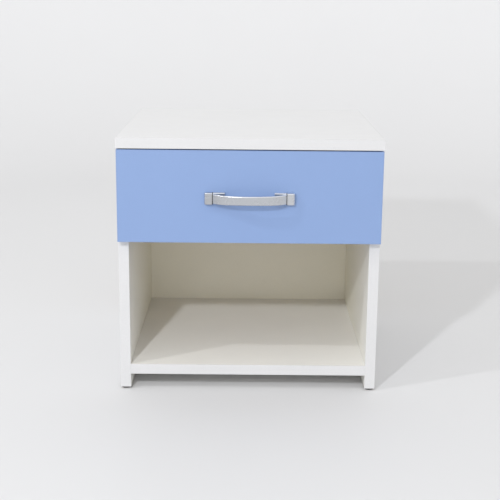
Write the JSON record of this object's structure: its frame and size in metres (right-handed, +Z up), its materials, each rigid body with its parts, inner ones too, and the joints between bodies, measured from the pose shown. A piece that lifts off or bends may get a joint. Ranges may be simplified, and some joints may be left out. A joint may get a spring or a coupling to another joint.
{
  "type": "bedside cabinet",
  "caption": "Bedside cabinet in white melamine board: blue overlay drawer on roller runners with a bow handle, over an open niche.",
  "frame": {"origin": "on the floor, under the middle of the bounding box, handle included", "axes": "+Z up, +X to the right seen from the front, the drawer front faces -Y"},
  "size_m": [0.45, 0.478, 0.45],
  "materials": {
    "white_melamine": "matte melamine foil on chipboard",
    "blue_melamine": "matte melamine foil on chipboard",
    "white_hardboard": "white-lacquered hardboard",
    "white_edging": "matte plastic edging",
    "blue_edging": "matte plastic edging",
    "zinc_fittings": "zinc-plated",
    "beech": "raw wood",
    "dark_plastic": "moulded",
    "coated_steel": "epoxy powder coat",
    "clear_rubber": "soft, cloudy",
    "satin_nickel": "satin nickel plate",
    "nylon": "moulded"
  },
  "bodies": {
    "carcass": {"top_panel": "white_melamine", "left_side_panel": "white_melamine", "right_side_panel": "white_melamine", "bottom_panel": "white_melamine", "back_panel": "white_hardboard", "left_side_edging": "white_edging", "right_side_edging": "white_edging", "bottom_edging": "white_edging", "top_edging": "white_edging", "cam_locks": "zinc_fittings", "cam_bolts": "zinc_fittings", "wooden_dowels": "beech", "floor_glides": "dark_plastic", "glide_nails": "zinc_fittings", "left_cabinet_rail": "coated_steel", "right_cabinet_rail": "coated_steel", "cabinet_rail_screws": "zinc_fittings", "cabinet_roller_pins": "zinc_fittings"},
    "drawer": {"drawer_front": "blue_melamine", "drawer_front_edging": "blue_edging", "left_drawer_side": "white_melamine", "right_drawer_side": "white_melamine", "drawer_back": "white_melamine", "drawer_bottom": "white_hardboard", "drawer_cam_locks": "zinc_fittings", "drawer_cam_bolts": "zinc_fittings", "drawer_dowels": "beech", "drawer_back_screws": "zinc_fittings", "drawer_bumpers": "clear_rubber", "left_drawer_rail": "coated_steel", "right_drawer_rail": "coated_steel", "drawer_rail_screws": "zinc_fittings", "drawer_roller_pins": "zinc_fittings", "left_handle_foot": "satin_nickel", "right_handle_foot": "satin_nickel", "handle_bow": "satin_nickel", "handle_screws": "zinc_fittings"},
    "left_front_roller": {"left_front_roller": "nylon"},
    "right_front_roller": {"right_front_roller": "nylon"},
    "left_rear_roller": {"left_rear_roller": "nylon"},
    "right_rear_roller": {"right_rear_roller": "nylon"}
  },
  "joints": [
    {"name": "drawer_slide", "type": "slide", "parent": "carcass", "child": "drawer", "axis": [0, -1, 0], "range_m": [0, 0.3]},
    {"name": "left_front_roller_turn", "type": "hinge", "parent": "carcass", "child": "left_front_roller", "pos_m": [-0.2013, -0.175, 0.303], "axis": [1, 0, 0], "range_deg": [0, 1640]},
    {"name": "right_front_roller_turn", "type": "hinge", "parent": "carcass", "child": "right_front_roller", "pos_m": [0.2013, -0.175, 0.303], "axis": [1, 0, 0], "range_deg": [0, 1640]},
    {"name": "left_rear_roller_turn", "type": "hinge", "parent": "drawer", "child": "left_rear_roller", "pos_m": [-0.2001, 0.193, 0.3028], "axis": [1, 0, 0], "range_deg": [0, 1640]},
    {"name": "right_rear_roller_turn", "type": "hinge", "parent": "drawer", "child": "right_rear_roller", "pos_m": [0.2001, 0.193, 0.3028], "axis": [1, 0, 0], "range_deg": [0, 1640]}
  ],
  "couplings": [
    {"joint": "left_front_roller_turn", "follows": "drawer_slide", "rad_per_m": 95.238},
    {"joint": "right_front_roller_turn", "follows": "drawer_slide", "rad_per_m": 95.238},
    {"joint": "left_rear_roller_turn", "follows": "drawer_slide", "rad_per_m": 95.238},
    {"joint": "right_rear_roller_turn", "follows": "drawer_slide", "rad_per_m": 95.238}
  ]
}
